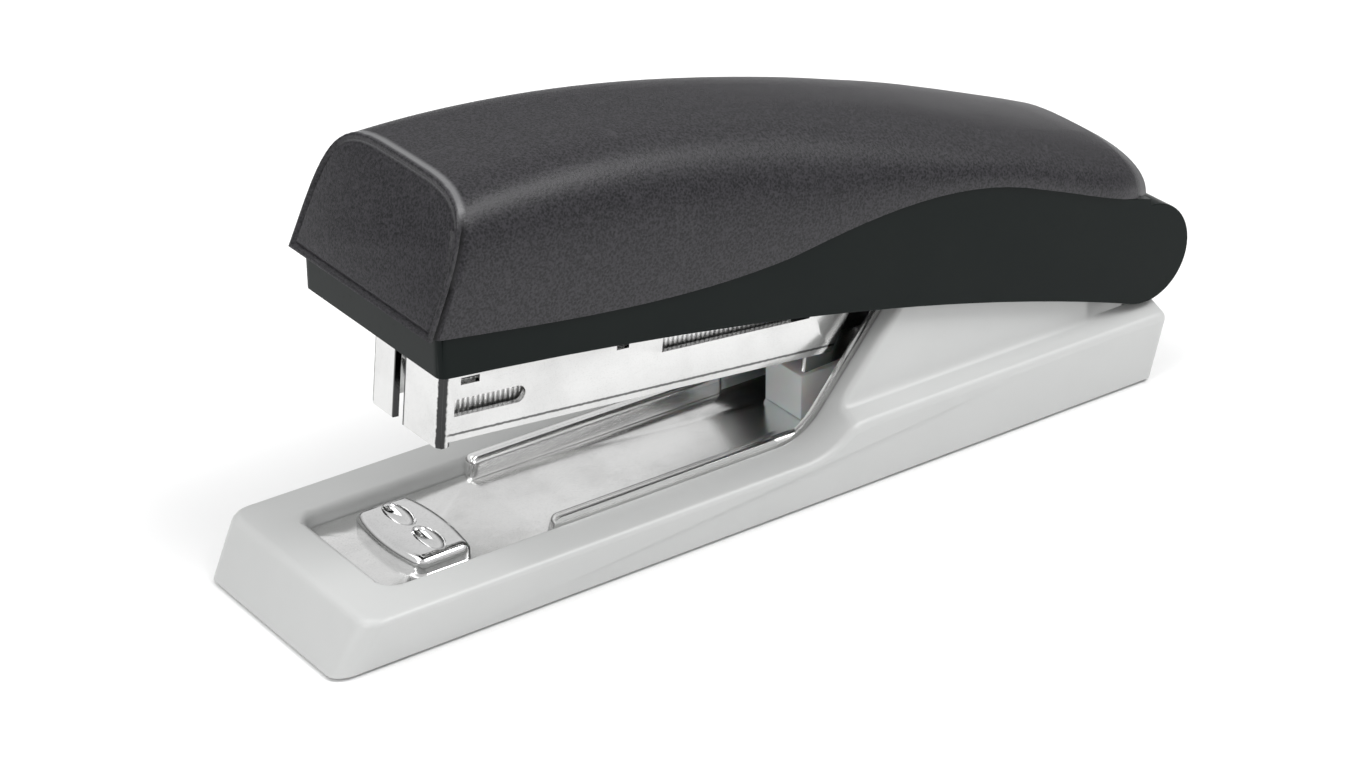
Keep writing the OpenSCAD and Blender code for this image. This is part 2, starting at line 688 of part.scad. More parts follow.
module head_cover() {
    n = 40;
    m = 30;
    w = m + 1;
    outer = [for (i = [0:n]) for (p = arch(i, n, 0, m)) p];
    inner = [for (i = [0:n]) for (p = arch(i, n, cap_t, m)) p];
    k = len(outer);
    grid = [for (i = [0:n - 1]) for (j = [0:m - 1]) [i*w + j, i*w + j + 1, (i + 1)*w + j + 1, (i + 1)*w + j]];
    faces = concat(
        [for (q = grid) [q[0], q[1], q[2]]], [for (q = grid) [q[0], q[2], q[3]]],
        [for (q = grid) [q[2] + k, q[1] + k, q[0] + k]], [for (q = grid) [q[3] + k, q[2] + k, q[0] + k]],
        [[for (j = [m:-1:0]) j]], [[for (j = [0:m]) j + k]],
        [[for (j = [0:m]) n*w + j]], [[for (j = [m:-1:0]) n*w + j + k]],
        [for (i = [0:n - 1]) [i*w, (i + 1)*w, (i + 1)*w + k, i*w + k]],
        [for (i = [0:n - 1]) [(i + 1)*w + m, i*w + m, i*w + m + k, (i + 1)*w + m + k]],
        [[m, 0, k, m + k]], [[n*w, n*w + m, n*w + m + k, n*w + k]]);
    place() color("dimgray") {
        polyhedron(points = concat(outer, inner), faces = faces, convexity = 10);
    }
}

module cover_screws() {
    place() color("silver") level() for (x = screw_x) translate([x, 0, web_z]) {
        translate([0, 0, -1.2]) cylinder(d = 4.2, h = 1.2);
        cylinder(d = screw_d, h = 9);
    }
}

base_shell();
rubber_feet();
base_plate();
plate_screws();
anvil();
anvil_rivet();
spring_block();
return_spring();
hinge_pin();
pin_clip();
hinge_spacer();
magazine();
staple_rail();
rail_rivets();
staple_strip();
pusher();
pusher_spring();
spring_hook();
lift_bracket();
handle_frame();
driver_blade();
driver_rivets();
head_spring();
head_trim();
head_cover();
cover_screws();
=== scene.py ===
import json
import math

import bmesh
import bpy
from mathutils import Matrix, Vector
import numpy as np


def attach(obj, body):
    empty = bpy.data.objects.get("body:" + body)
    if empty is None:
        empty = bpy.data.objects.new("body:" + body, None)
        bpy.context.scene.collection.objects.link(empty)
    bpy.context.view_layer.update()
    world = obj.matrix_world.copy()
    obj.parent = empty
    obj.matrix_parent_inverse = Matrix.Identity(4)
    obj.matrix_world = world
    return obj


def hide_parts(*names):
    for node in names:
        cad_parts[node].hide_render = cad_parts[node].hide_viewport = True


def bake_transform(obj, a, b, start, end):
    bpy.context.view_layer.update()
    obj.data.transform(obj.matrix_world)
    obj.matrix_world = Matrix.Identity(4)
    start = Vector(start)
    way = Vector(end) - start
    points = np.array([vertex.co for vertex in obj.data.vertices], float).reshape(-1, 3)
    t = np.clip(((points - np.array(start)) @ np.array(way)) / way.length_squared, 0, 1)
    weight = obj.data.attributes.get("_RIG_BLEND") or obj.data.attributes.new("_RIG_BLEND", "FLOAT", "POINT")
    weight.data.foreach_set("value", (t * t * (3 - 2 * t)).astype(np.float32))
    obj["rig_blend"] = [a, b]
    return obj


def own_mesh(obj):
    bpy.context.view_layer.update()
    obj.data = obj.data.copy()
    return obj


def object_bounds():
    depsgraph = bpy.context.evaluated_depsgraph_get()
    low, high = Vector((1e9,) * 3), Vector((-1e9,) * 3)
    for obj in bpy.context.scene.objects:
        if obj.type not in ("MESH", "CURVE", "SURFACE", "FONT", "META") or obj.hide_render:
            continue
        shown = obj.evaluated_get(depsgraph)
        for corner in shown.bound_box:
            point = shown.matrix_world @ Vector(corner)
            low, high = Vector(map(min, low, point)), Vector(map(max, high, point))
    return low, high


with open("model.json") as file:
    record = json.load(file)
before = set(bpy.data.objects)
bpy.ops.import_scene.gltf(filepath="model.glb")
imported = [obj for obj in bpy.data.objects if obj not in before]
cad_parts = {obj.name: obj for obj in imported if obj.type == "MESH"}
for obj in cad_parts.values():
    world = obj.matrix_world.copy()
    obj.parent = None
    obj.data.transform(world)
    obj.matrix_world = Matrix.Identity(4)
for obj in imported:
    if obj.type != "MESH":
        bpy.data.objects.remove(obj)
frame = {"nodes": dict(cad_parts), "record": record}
cad_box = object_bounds()
MM = 0.001

# ---------------------------------------------------------------- places

FRONT_X = cad_box[0][0]           # the front of the base: lengths in mm are counted from it
PIN_X, PIN_Z = 124.0, 19.2        # the hinge pin
REST_TILT = math.radians(5.6)     # of the magazine at rest
COVER_FOOT = (14.1, 40.2)         # lower edge of the cover's front face
FACE_LEAN = math.radians(23.96)   # of that face, from upright


def at(x, y, z):
    """A place in metres from millimetres, with x counted from the front of the base."""
    return Vector((FRONT_X + x * MM, y * MM, z * MM))


def local(co):
    """The reverse of at()."""
    return ((co.x - FRONT_X) / MM, co.y / MM, co.z / MM)


# ---------------------------------------------------------------- camera, floor and light

def look_from(place, azimuth, elevation, roll, lens):
    """A camera at place that looks along the given angles, in degrees."""
    a, e, r = (math.radians(v) for v in (azimuth, elevation, roll))
    back = Vector((math.sin(a) * math.cos(e), -math.cos(a) * math.cos(e), math.sin(e)))
    right = Vector((math.cos(a), math.sin(a), 0))
    up = back.cross(right)
    x_axis = right * math.cos(r) + up * math.sin(r)
    y_axis = up * math.cos(r) - right * math.sin(r)
    data = bpy.data.cameras.new("studio_camera")
    data.lens = lens
    data.sensor_width = 36
    data.clip_start = 0.01
    data.clip_end = 20
    camera = bpy.data.objects.new("studio_camera", data)
    bpy.context.scene.collection.objects.link(camera)
    camera.matrix_world = Matrix.Translation(place) @ Matrix((x_axis, y_axis, back)).transposed().to_4x4()
    bpy.context.scene.camera = camera


def soft_box(name, place, aim, size, watts):
    """A rectangular studio light at place, turned to aim."""
    data = bpy.data.lights.new(name, "AREA")
    data.shape = "RECTANGLE"
    data.size, data.size_y = size
    data.energy = watts
    lamp = bpy.data.objects.new(name, data)
    bpy.context.scene.collection.objects.link(lamp)
    lamp.location = place
    lamp.rotation_euler = (Vector(aim) - Vector(place)).to_track_quat("-Z", "Y").to_euler()


# ---------------------------------------------------------------- shader maths

class Value:
    """Wraps a node's output, so that sums on it add Math nodes."""

    def __init__(self, shader, socket):
        self.shader = shader
        self.socket = socket

    def maths(self, operation, a, b):
        return self.shader.add("ShaderNodeMath", {"operation": operation}, {0: a, 1: b})

    def __add__(self, other): return self.maths("ADD", self, other)
    def __radd__(self, other): return self.maths("ADD", other, self)
    def __sub__(self, other): return self.maths("SUBTRACT", self, other)
    def __rsub__(self, other): return self.maths("SUBTRACT", other, self)
    def __mul__(self, other): return self.maths("MULTIPLY", self, other)
    def __rmul__(self, other): return self.maths("MULTIPLY", other, self)


class Finish:
    """A material with a Principled shader, built from named nodes."""

    def __init__(self, name, colour, metallic=0.0, roughness=0.5, **constants):
        self.material = bpy.data.materials.new(name)
        self.material.use_nodes = True
        self.tree = self.material.node_tree
        self.tree.nodes.clear()
        self.output = self.tree.nodes.new("ShaderNodeOutputMaterial")
        self.shader = self.tree.nodes.new("ShaderNodeBsdfPrincipled")
        self.tree.links.new(self.shader.outputs[0], self.output.inputs["Surface"])
        self.set("Base Color", (*colour, 1))
        self.set("Metallic", metallic)
        self.set("Roughness", roughness)
        for key, value in constants.items():
            self.set(key.replace("_", " "), value)
        self.place = self.add("ShaderNodeTexCoord", {}, {}, "Object")

    def set(self, name, value):
        socket = self.shader.inputs[name]
        if isinstance(value, Value):
            self.tree.links.new(value.socket, socket)
        else:
            socket.default_value = value

    def add(self, kind, settings, inputs, output=0):
        """One node: its settings are set first, then its sockets are given values or links."""
        node = self.tree.nodes.new(kind)
        for key, value in settings.items():
            setattr(node, key, value)
        for key, value in inputs.items():
            socket = node.inputs[key]
            if isinstance(value, Value):
                self.tree.links.new(value.socket, socket)
            else:
                socket.default_value = value
        return node if output is None else Value(self, node.outputs[output])

    def axis(self, letter):
        """One coordinate of the place on the object, in metres."""
        return self.add("ShaderNodeSeparateXYZ", {}, {"Vector": self.place}, letter)

    def noise(self, size_mm, detail=2.0, rough=0.5, along=None):
        """Noise with features of about size_mm; along stretches it along X by that much."""
        vector = self.place
        if along:
            vector = self.add("ShaderNodeMapping", {}, {"Vector": self.place, "Scale": (1 / along, 1, 1)})
        return self.add("ShaderNodeTexNoise", {}, {"Vector": vector, "Scale": 1 / (size_mm * MM),
                                                   "Detail": detail, "Roughness": rough}, "Fac")

    def cells(self, size_mm):
        return self.add("ShaderNodeTexVoronoi", {"feature": "SMOOTH_F1"},
                        {"Vector": self.place, "Scale": 1 / (size_mm * MM), "Smoothness": 0.6}, "Distance")

    def band(self, value, low, high):
        """0 below low, 1 above high, smooth between."""
        return self.add("ShaderNodeMapRange", {"interpolation_type": "SMOOTHSTEP"},
                        {"Value": value, "From Min": low, "From Max": high})

    def stripe(self, value, low, full, fading, high):
        """1 between full and fading, 0 below low and above high."""
        return self.band(value, low, full) * (1 - self.band(value, fading, high))

    def larger(self, a, b):
        return self.add("ShaderNodeMath", {"operation": "MAXIMUM", "use_clamp": True}, {0: a, 1: b})

    def mix(self, factor, a, b):
        """Colours a and b, each an RGB tuple or a Value, mixed by factor."""
        a, b = ((*c, 1) if isinstance(c, tuple) else c for c in (a, b))
        return self.add("ShaderNodeMix", {"data_type": "RGBA"}, {0: factor, 6: a, 7: b}, 2)

    def bump(self, height, depth_mm, strength=1.0):
        self.set("Normal", self.add("ShaderNodeBump", {},
                                    {"Strength": strength, "Distance": depth_mm * MM, "Height": height}))


def grained_cover():
    """Charcoal plastic with a fine spark-eroded grain."""
    f = Finish("charcoal_grain", (0.03, 0.03, 0.032), roughness=0.45, Specular_IOR_Level=0.36)
    grain = f.cells(0.36) * 0.3 + f.noise(0.27, 3, 0.7) * 0.75
    cloud = f.noise(9, 3)
    wear = f.band(f.noise(2.2, 4, 0.65), 0.56, 0.75)
    tone = f.mix(f.band(grain, 0.36, 0.66), (0.004, 0.0045, 0.0055), (0.030, 0.028, 0.033))
    # shade lies in the groove behind the rim; depth is counted behind the front face
    foot = at(COVER_FOOT[0], 0, COVER_FOOT[1])
    depth = (f.axis("X") - foot.x) * math.cos(FACE_LEAN) - (f.axis("Z") - foot.z) * math.sin(FACE_LEAN)
    below_top = 1 - f.band(f.axis("Z"), 51 * MM, 53.5 * MM)
    groove = f.stripe(depth, 0.4 * MM, 0.7 * MM, 0.9 * MM, 1.3 * MM) * below_top
    wear_and_edge_highlight = f.mix(wear * 0.25, tone, (0.06, 0.057, 0.062))
    # a highlight is painted along the top of the front edge: a lighter grey there, which is also less rough
    edge = f.stripe(depth, 0.05 * MM, 0.4 * MM, 0.7 * MM, 1.3 * MM)
    edge = edge * f.band(f.axis("Z"), 51.5 * MM, 54.5 * MM)
    wear_and_edge_highlight = f.mix(edge * 0.9, wear_and_edge_highlight, (0.17, 0.17, 0.175))
    f.set("Base Color", f.mix(groove * 0.85, wear_and_edge_highlight, (0.003, 0.003, 0.0035)))
    f.set("Roughness", 0.27 + grain * 0.2 + cloud * 0.06 - edge * 0.1)
    f.bump(grain, 0.075, 0.6)
    return f.material


def satin_skirt():
    """Smooth near-black plastic, with the faint swirl of a moulding."""
    f = Finish("black_skirt", (0.006, 0.008, 0.008), roughness=0.36, Specular_IOR_Level=0.1)
    swirl = f.noise(14, 3, 0.55)
    dust = f.band(f.noise(0.5, 2), 0.66, 0.74)
    f.set("Base Color", f.mix(swirl, (0.0035, 0.0062, 0.006), (0.007, 0.010, 0.0092)))
    f.set("Roughness", 0.30 + swirl * 0.1 + dust * 0.08)
    f.bump(f.noise(1.6, 2) * 0.6 + f.noise(0.25, 2) * 0.4, 0.012, 0.5)
    return f.material


def satin_base():
    """Light grey satin plastic."""
    f = Finish("grey_satin", (0.5, 0.51, 0.5), roughness=0.34, Specular_IOR_Level=0.5)
    cloud = f.noise(11, 4, 0.55)
    grain = f.noise(0.3, 3, 0.6)
    scuff = f.band(f.noise(0.9, 5, 0.7), 0.63, 0.8)
    f.set("Base Color", f.mix(scuff * 0.25, f.mix(cloud, (0.51, 0.518, 0.513), (0.555, 0.56, 0.555)),
                              (0.46, 0.47, 0.47)))
    f.set("Roughness", 0.28 + cloud * 0.1 + grain * 0.08)
    f.bump(grain * 0.7 + f.noise(2.5, 2) * 0.3, 0.012, 0.5)
    return f.material


def plated(name, tint, low, high, brush=14.0, depth=0.004, dark_reflections=None):
    """Bright plated sheet steel: faint brushing, orange peel and rubbed patches.

    dark_reflections gives, from the finish, where dark reflections are painted on the sheet along its bends.
    """
    f = Finish(name, tint, metallic=1.0, roughness=low)
    lines = f.noise(0.16, 3, 0.6, along=brush)
    peel = f.noise(0.35, 3, 0.6)
    rubbed = f.band(f.noise(7, 4, 0.6), 0.4, 0.75)
    specks = f.band(f.noise(0.22, 4, 0.7), 0.5, 0.72)
    dull = tuple(c * 0.7 for c in tint)
    colour = f.mix(rubbed * 0.25 + lines * 0.2 + specks * 0.45, tint, dull)
    # where given, dark reflections are painted near-black along the sheet's bends
    if dark_reflections:
        colour = f.mix(dark_reflections(f), colour, (0.015, 0.015, 0.016))
    f.set("Base Color", colour)
    f.set("Roughness", low + (high - low) * (rubbed * 0.6 + lines * 0.4))
    f.bump(lines * 0.4 + peel * 0.6, depth, 0.6)
    return f.material


def milky_block():
    f = Finish("milky_white", (0.88, 0.89, 0.885), roughness=0.3, Subsurface_Weight=0.4,
               Subsurface_Scale=0.003)
    f.set("Base Color", f.mix(f.noise(3, 3), (0.9, 0.9, 0.895), (0.94, 0.94, 0.935)))
    f.set("Roughness", 0.26 + f.noise(0.6, 3) * 0.14)
    f.bump(f.noise(0.5, 2), 0.012, 0.4)
    return f.material


def foot_rubber():
    f = Finish("foot_rubber", (0.03, 0.03, 0.03), roughness=0.8)
    dust = f.band(f.noise(0.7, 4), 0.5, 0.75)
    f.set("Base Color", f.mix(dust, (0.022, 0.022, 0.023), (0.07, 0.068, 0.065)))
    f.set("Roughness", 0.7 + dust * 0.2)
    f.bump(f.noise(0.3, 3), 0.03, 0.6)
    return f.material


def magazine_dark_reflections(f):
    """Dark reflections painted down the nose's corners, on a stripe beside the middle of the nose's front,
    and along the bend above the channel's lower edge.
    """
    # places are measured from the pin, along and across the tilted magazine
    level = f.add("ShaderNodeMapping", {"vector_type": "TEXTURE"},
                  {"Vector": f.place, "Location": at(PIN_X, 0, PIN_Z), "Rotation": (0, REST_TILT, 0)})
    split = f.add("ShaderNodeSeparateXYZ", {}, {"Vector": level}, None)
    x, across, z = (Value(f, split.outputs[i]) for i in range(3))
    y = f.add("ShaderNodeMath", {"operation": "ABSOLUTE"}, {0: across})
    ragged = (f.noise(0.5, 3) - 0.5) * (0.4 * MM)
    # painted dark reflections: the nose's corners, a stripe on its front, and the bend above the lower edge
    corner = f.band(y + ragged, 6.7 * MM, 6.9 * MM) * (1 - f.band(x + ragged, -103.4 * MM, -103.1 * MM))
    slot = f.stripe(across, -0.1 * MM, 0.1 * MM, 2.5 * MM, 2.7 * MM)
    slot = slot * (1 - f.band(x, -103.3 * MM, -103.0 * MM))
    fold = f.stripe(z + ragged * 0.5, -6.8 * MM, -6.7 * MM, -6.5 * MM, -6.4 * MM)
    fold = fold * f.band(y, 7.2 * MM, 7.4 * MM) * f.band(x, -103.5 * MM, -102.5 * MM)
    return f.larger(f.larger(corner, slot) * 0.95, fold * 0.8)


FINISHES = {
    "cover_plastic": grained_cover(),
    "skirt_plastic": satin_skirt(),
    "base_plastic": satin_base(),
    "block_plastic": milky_block(),
    "foot_rubber": foot_rubber(),
    "plated_steel": plated("nickel_sheet", (0.80, 0.80, 0.795), 0.08, 0.2, depth=0.005),
    "anvil_chrome": plated("anvil_chrome", (0.80, 0.80, 0.80), 0.08, 0.14, brush=3.0, depth=0.005),
    "staple_wire": plated("staple_wire", (0.97, 0.97, 0.965), 0.34, 0.5, brush=1.0),
    "spring_steel": plated("spring_wire", (0.42, 0.42, 0.43), 0.22, 0.36, brush=2.0),
    "blackened_steel": plated("blackened_steel", (0.10, 0.10, 0.105), 0.25, 0.4, brush=6.0),
}
OWN_FINISH = {  # nodes whose sheet has its own finish
    # the plate's sheet is tinted lighter than the other plated steel: painted light that makes it show
    # brighter
    "base_plate": plated("plate_sheet", (0.92, 0.92, 0.915), 0.16, 0.3, brush=20.0, depth=0.008),
    # the magazine's sheet is tinted darker than the other plated steel, painted shade that keeps it from
    # showing too bright, and has dark reflections painted along its bends
    "magazine": plated("magazine_sheet", (0.70, 0.70, 0.695), 0.10, 0.26, depth=0.014,
                       dark_reflections=magazine_dark_reflections),
}
SLOT_OF = {row["node"]: row["material_slot"] for row in frame["record"]["subparts"]}
BODY_OF = {node: body for body, nodes in frame["record"]["behaviour"]["bodies"].items() for node in nodes}


# ---------------------------------------------------------------- pieces

def only(*objects):
    """Leaves just these objects selected, the first one active."""
    if bpy.context.object and bpy.context.object.mode != "OBJECT":
        bpy.ops.object.mode_set(mode="OBJECT")
    bpy.ops.object.select_all(action="DESELECT")
    for item in objects:
        item.select_set(True)
    bpy.context.view_layer.objects.active = objects[0]


BENDS = ("head_spring", "pusher_spring")  # nodes that give across a joint, so ride on no single body


def finish_piece(piece, node, replaces=True):
    """Gives a piece the finish chosen by the CAD node's slot and, unless it bends, the CAD node's body."""
    piece.data.materials.clear()
    piece.data.materials.append(OWN_FINISH.get(node) or FINISHES[SLOT_OF[node]])
    if node not in BENDS:
        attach(piece, BODY_OF[node])
    if replaces:
        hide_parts(node)


def apply_modifiers(piece):
    only(piece)
    for modifier in list(piece.modifiers):
        bpy.ops.object.modifier_apply(modifier=modifier.name)


def merged_copy(node, name, flat=0.5):
    """A copy of a CAD node in object mode, its loose triangles merged into whole faces."""
    piece = bpy.data.objects.new(name, frame["nodes"][node].data.copy())
    bpy.context.scene.collection.objects.link(piece)
    only(piece)
    bpy.ops.object.mode_set(mode="EDIT")
    bpy.ops.mesh.select_all(action="SELECT")
    bpy.ops.mesh.remove_doubles(threshold=2e-6)
    bpy.ops.mesh.dissolve_limited(angle_limit=math.radians(flat))
    bpy.ops.object.mode_set(mode="OBJECT")
    return piece


SHARP_ANGLE, SMOOTH_ANGLE = math.radians(28), math.radians(32)


def softened(node, name, width_mm, segments):
    """A copy of a CAD node with its facets merged and its sharp edges broken."""
    piece = merged_copy(node, name)
    if width_mm:
        bevel = piece.modifiers.new("edge", "BEVEL")
        bevel.width = width_mm * MM
        bevel.segments = segments
        bevel.limit_method = "ANGLE"
        bevel.angle_limit = SHARP_ANGLE
        bevel.miter_outer = "MITER_ARC"
    apply_modifiers(piece)
    bpy.ops.object.shade_smooth_by_angle(angle=SMOOTH_ANGLE)
    finish_piece(piece, node)


SOFT_EDGES = {  # node: (name, width of the broken edge in mm, segments)
    "rubber_feet": ("round_feet", 0.4, 3),
    "base_plate": ("base_channel", 0.22, 2),
    "plate_screws": ("base_plate_screws", 0.15, 2),
    "anvil_rivet": ("anvil_fixing", 0.1, 2),
    "spring_block": ("white_block", 0.5, 4),
    "hinge_pin": ("hinge_axle", 0.3, 3),
    "pin_clip": ("hinge_clip", 0.08, 2),
    "hinge_spacer": ("hinge_tube", 0.1, 2),
    "staple_rail": ("inner_rail", 0.1, 2),
    "rail_rivets": ("rail_fixings", 0.12, 2),
    "pusher": ("staple_pusher", 0.12, 2),
    "spring_hook": ("spring_anchor", 0.1, 2),
    "lift_bracket": ("lifting_bracket", 0.15, 2),
    "handle_frame": ("head_channel", 0.15, 2),
    "driver_blade": ("driver", 0.08, 2),
    "driver_rivets": ("driver_fixings", 0.2, 3),
    "cover_screws": ("cover_fixings", 0.15, 2),
    "return_spring": ("lifting_spring", 0.0, 0),
    "pusher_spring": ("feed_spring", 0.0, 0),
    "head_spring": ("head_return_spring", 0.0, 0),
}
for node, (name, width, segments) in SOFT_EDGES.items():
    softened(node, name, width, segments)

# ---------------------------------------------------------------- modelling by hand

def pick(piece, test, kind="VERT"):
    """In edit mode, selects just the vertices, edges or faces whose middle passes the test."""
    bpy.ops.mesh.select_mode(type=kind)
    bpy.ops.mesh.select_all(action="DESELECT")
    mesh = bmesh.from_edit_mesh(piece.data)
    parts = {"VERT": mesh.verts, "EDGE": mesh.edges, "FACE": mesh.faces}[kind]
    for part in parts:
        if kind == "VERT":
            middle = part.co
        else:
            middle = sum((v.co for v in part.verts), Vector()) / len(part.verts)
        if kind == "FACE":
            part.select = test(*local(middle), part.normal)
        elif kind == "EDGE":
            part.select = test(*local(middle), part)
        else:
            part.select = test(*local(middle))
    mesh.select_flush_mode()
    bmesh.update_edit_mesh(piece.data)


def draw_outline(name, points, y0):
    """A new object in edit mode: a side outline drawn point by point at y0, then filled."""
    bpy.ops.object.select_all(action="DESELECT")
    bpy.ops.mesh.primitive_plane_add(size=MM, location=(0, 0, 0))
    piece = bpy.context.object
    piece.name = name
    bpy.ops.object.mode_set(mode="EDIT")
    bpy.ops.mesh.select_mode(type="VERT")
    bpy.ops.mesh.select_all(action="SELECT")
    bpy.ops.mesh.merge(type="CENTER")
    bpy.ops.mesh.select_all(action="SELECT")
    bpy.ops.transform.translate(value=at(points[0][0], y0, points[0][1]))
    for (xa, za), (xb, zb) in zip(points, points[1:]):
        step = ((xb - xa) * MM, 0, (zb - za) * MM)
        bpy.ops.mesh.extrude_vertices_move(TRANSFORM_OT_translate={"value": step})
    bpy.ops.mesh.select_all(action="SELECT")
    bpy.ops.mesh.edge_face_add()
    return piece


def pull(x=0, y=0, z=0):
    """Extrudes the selected faces by millimetres."""
    bpy.ops.mesh.extrude_region_move(TRANSFORM_OT_translate={"value": (x * MM, y * MM, z * MM)})


def shift(x=0, y=0, z=0):
    bpy.ops.transform.translate(value=(x * MM, y * MM, z * MM))


def grow(factors, centre):
    bpy.ops.transform.resize(value=factors, center_override=at(*centre))


def close_mesh():
    bpy.ops.mesh.select_mode(type="VERT")
    bpy.ops.mesh.select_all(action="SELECT")
    bpy.ops.mesh.remove_doubles(threshold=1e-6)
    bpy.ops.mesh.normals_make_consistent(inside=False)
    bpy.ops.object.mode_set(mode="OBJECT")


def weigh_edges(piece, sharp, test):
    """Marks for bevelling the edges that turn by more than sharp degrees and pass the test."""
    mesh = bmesh.new()
    mesh.from_mesh(piece.data)
    layers = mesh.edges.layers.float
    weight = layers.get("bevel_weight_edge") or layers.new("bevel_weight_edge")
    for edge in mesh.edges:
        middle = (edge.verts[0].co + edge.verts[1].co) / 2
        turned = len(edge.link_faces) == 2 and edge.calc_face_angle(0) > math.radians(sharp)
        edge[weight] = 1.0 if turned and test(*local(middle)) else 0.0
    mesh.to_mesh(piece.data)
    mesh.free()


def round_edges(piece, width_mm, segments, smooth=35, clamp=True):
    bevel = piece.modifiers.new("soft_edge", "BEVEL")
    bevel.width = width_mm * MM
    bevel.segments = segments
    bevel.limit_method = "WEIGHT"
    bevel.miter_outer = "MITER_ARC"
    bevel.use_clamp_overlap = clamp
    apply_modifiers(piece)
    bpy.ops.object.shade_smooth_by_angle(angle=math.radians(smooth))


def settle(piece):
    """Puts the piece's object at the origin, with its place in its mesh."""
    only(piece)
    bpy.ops.object.transform_apply(location=True, rotation=True, scale=True)


# ---------------------------------------------------------------- base shell

FLAT_Z = 7.4          # top of the flat front part
DECK_Z = 4.3          # floor of the recess
BASE_HALF = 16.5
FOOT_HALF = 14.9
CHEEK_OUT, CHEEK_IN = 13.0, 10.0
SHOULDER_Z = 11.7
SLOPE_X, SLOPE_R, SLOPE = 71.0, 8.7, math.radians(49.6)
RECESS = (10.3, 125.0)
CHEEK_END = 121.6
HEAD_R = 5.3         # radius of the cheeks' round heads


def slope_points(top):
    """The concave ramp and the straight slope up to top."""
    run = SLOPE_R * math.tan(SLOPE / 2)
    points = []
    for i in range(9):
        a = SLOPE * i / 8
        points.append((SLOPE_X - run + SLOPE_R * math.sin(a), FLAT_Z + SLOPE_R * (1 - math.cos(a))))
    points = [p for p in points if p[1] < top - 0.3]
    points.append((SLOPE_X + (top - FLAT_Z) / math.tan(SLOPE), top))
    return points


def cheek_height(x):
    """Height of the cheek's upper edge behind the slope."""
    slope = FLAT_Z + (x - SLOPE_X) * math.tan(SLOPE)
    return min(slope, 24.6 - 0.055 * max(0, 88 - x) ** 1.6)


def make_base_shell():
    """Drawn as a side outline, pulled across in bands, then raised, tapered and hollowed."""
    ramp = slope_points(SHOULDER_Z)
    behind = [77, 79, 81, 83, 85, 87.5, 91, 97, 106, 115, CHEEK_END]
    outline = [(0, 0.5), (4, FLAT_Z)] + ramp + [(x, SHOULDER_Z) for x in behind]
    outline += [(127, SHOULDER_Z), (126.2, 0.5)]
    piece = draw_outline("grey_base_shell", outline, -BASE_HALF)
    for width in (BASE_HALF - CHEEK_OUT, CHEEK_OUT - CHEEK_IN, 2 * CHEEK_IN, CHEEK_OUT - CHEEK_IN,
                  BASE_HALF - CHEEK_OUT):
        pull(y=width)
    bpy.ops.mesh.select_all(action="SELECT")
    bpy.ops.mesh.normals_make_consistent(inside=False)
    # shoulder: its outer edge is lower than its inner one
    pick(piece, lambda x, y, z: abs(y) > BASE_HALF - 0.1 and z > FLAT_Z + 0.01)
    grow((1, 1, 0.65), (0, 0, FLAT_Z))
    # draft: the foot is narrower than the top
    pick(piece, lambda x, y, z: abs(y) > BASE_HALF - 0.1 and z < 1)
    grow((1, FOOT_HALF / BASE_HALF, 1), (0, 0, 0))
    # cheeks: the narrow bands go up behind the slope
    pick(piece, lambda x, y, z, n: n.z > 0.9 and CHEEK_IN < abs(y) < CHEEK_OUT and z > SHOULDER_Z - 0.1
         and x < CHEEK_END, "FACE")
    pull(z=1)
    for x in behind + [ramp[-1][0]]:
        pick(piece, lambda a, y, z: abs(a - x) < 0.05 and abs(z - SHOULDER_Z - 1) < 0.05)
        shift(z=cheek_height(x) - SHOULDER_Z - 1)
    # round heads of the cheeks behind the pin
    pick(piece, lambda x, y, z, n: n.x > 0.9 and abs(x - CHEEK_END) < 0.1 and CHEEK_IN < abs(y) < CHEEK_OUT
         and z > SHOULDER_Z, "FACE")
    x0, half0 = CHEEK_END, HEAD_R
    heads = ((121.9, HEAD_R), (PIN_X, HEAD_R), (126.6, 4.6), (128.3, 3.2), (129.2, 1.1))
    for x, half in heads:
        pull(x=x - x0)
        grow((1, 1, half / half0), (x, 0, PIN_Z))
        x0, half0 = x, half
    # they are as round below, so that the tail of the head turns clear of them
    for x, _ in heads:
        pick(piece, lambda a, y, z: abs(a - x) < 0.05 and SHOULDER_Z - 0.1 < z < PIN_Z
             and CHEEK_IN - 0.1 < abs(y) < CHEEK_OUT + 0.1)
        grow((1, 1, HEAD_R / (PIN_Z - SHOULDER_Z)), (0, 0, PIN_Z))
    # recess: the middle band between its two ends is sunk to the deck
    for x in RECESS:
        bpy.ops.mesh.select_all(action="SELECT")
        bpy.ops.mesh.bisect(plane_co=at(x, 0, 0), plane_no=(1, 0, 0))
    pick(piece, lambda x, y, z, n: n.z > 0.2 and abs(y) < CHEEK_IN - 1 and RECESS[0] < x < RECESS[1], "FACE")
    pull(z=-0.5)
    grow((1, 1, 0), (0, 0, DECK_Z))
    # the recess has round corners at its front
    pick(piece, lambda x, y, z, e: abs(x - RECESS[0]) < 0.1 and abs(abs(y) - CHEEK_IN) < 0.1
         and abs(e.verts[0].co.z - e.verts[1].co.z) > 2 * MM, "EDGE")
    bpy.ops.mesh.bevel(offset=2.3 * MM, segments=6, affect="EDGES")
    # the front of the base is round in plan
    pick(piece, lambda x, y, z, e: x < 3 and abs(y) > FOOT_HALF - 0.2
         and abs(e.verts[0].co.z - e.verts[1].co.z) > 2 * MM, "EDGE")
    bpy.ops.mesh.bevel(offset=2.4 * MM, segments=6, affect="EDGES")
    # hollow underside
    pick(piece, lambda x, y, z, n: n.z < -0.9 and z < 1, "FACE")
    bpy.ops.mesh.inset(thickness=3.2 * MM)
    pull(z=2)
    close_mesh()
    return piece


